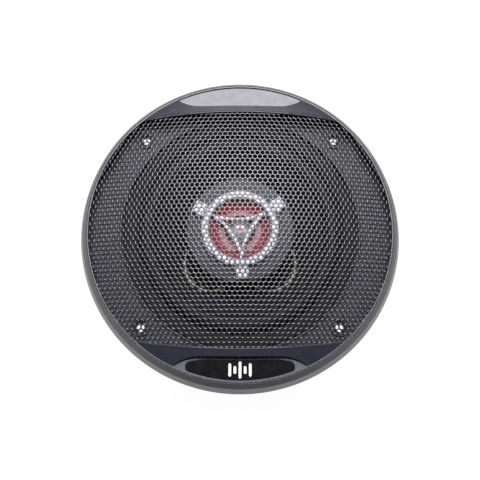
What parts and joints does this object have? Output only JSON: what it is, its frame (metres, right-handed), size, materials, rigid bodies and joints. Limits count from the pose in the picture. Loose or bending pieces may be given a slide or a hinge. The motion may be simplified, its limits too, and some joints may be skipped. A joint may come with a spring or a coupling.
{
  "type": "coaxial car speaker",
  "caption": "Round coaxial car speaker: woofer cone in a stamped basket, a tweeter on a post inside a chrome three-lug guard, and a domed perforated clip-on grille with a badge recess.",
  "frame": {"origin": "on the speaker's axis, in the plane of the flange's back face, which is the face that sits on the panel", "axes": "+Z along the axis, out of the front of the speaker; -Y towards the badge and the terminals, which is the bottom edge in the picture; +X to the viewer's right"},
  "size_m": [0.18, 0.18, 0.0738],
  "materials": {
    "black_steel": "satin",
    "bright_steel": "satin",
    "ferrite": "matte",
    "foam": "matte",
    "cone_plastic": "satin",
    "surround_rubber": "satin",
    "black_cloth": "matte",
    "amber_film": "gloss",
    "copper_wire": "satin",
    "spider_cloth": "matte",
    "tinned_metal": "gloss",
    "board": "satin",
    "capacitor_sleeve": "gloss",
    "red_insulation": "satin",
    "black_insulation": "satin",
    "dark_plastic": "satin",
    "disc_plastic": "satin",
    "nickel": "gloss",
    "dome_film": "satin",
    "red_plastic": "gloss",
    "guard_chrome": "polished",
    "base_plastic": "satin",
    "trim_plastic": "satin",
    "mesh_steel": "satin",
    "badge_black": "gloss",
    "mark_white": "satin"
  },
  "bodies": {
    "chassis": {"basket": "black_steel", "basket_rivets": "bright_steel", "top_plate": "bright_steel", "magnet": "ferrite", "yoke": "bright_steel", "front_gasket": "foam", "surround": "surround_rubber", "spider": "spider_cloth", "tinsel_lead_pos": "copper_wire", "tinsel_lead_neg": "copper_wire", "terminal_board": "board", "terminal_pos": "tinned_metal", "terminal_neg": "tinned_metal", "terminal_rivets": "bright_steel", "capacitor": "capacitor_sleeve", "capacitor_leads": "tinned_metal", "tweeter_wire_pos": "red_insulation", "tweeter_wire_neg": "black_insulation", "post": "dark_plastic", "post_washer": "bright_steel", "post_nut": "bright_steel", "tweeter_housing": "disc_plastic", "tweeter_yoke": "bright_steel", "tweeter_magnet": "nickel", "tweeter_pole_plate": "bright_steel", "tweeter_surround": "dome_film", "tweeter_clamp_ring": "dark_plastic", "tweeter_waveguide": "red_plastic", "tweeter_guard": "guard_chrome", "grille_base_ring": "base_plastic"},
    "cone_assembly": {"cone": "cone_plastic", "dust_ring": "black_cloth", "coil_former": "amber_film", "coil_winding": "copper_wire", "cone_eyelets": "tinned_metal"},
    "tweeter_diaphragm": {"tweeter_dome": "dome_film", "tweeter_coil": "copper_wire"},
    "grille": {"grille_trim": "trim_plastic", "grille_mesh": "mesh_steel", "badge_plate": "badge_black", "badge_mark": "mark_white"}
  },
  "joints": [
    {"name": "cone_travel", "type": "slide", "parent": "chassis", "child": "cone_assembly", "axis": [0, 0, 1], "range_m": [-0.004, 0.004], "stiffness_N_per_m": 2900, "deforming": ["surround", "spider", "tinsel_lead_pos", "tinsel_lead_neg"]},
    {"name": "tweeter_travel", "type": "slide", "parent": "chassis", "child": "tweeter_diaphragm", "axis": [0, 0, 1], "range_m": [-0.0002, 0.0002], "stiffness_N_per_m": 50, "deforming": ["tweeter_surround"]},
    {"name": "grille_pull_off", "type": "slide", "parent": "chassis", "child": "grille", "axis": [0, 0, 1], "range_m": [0, 0.04]}
  ]
}
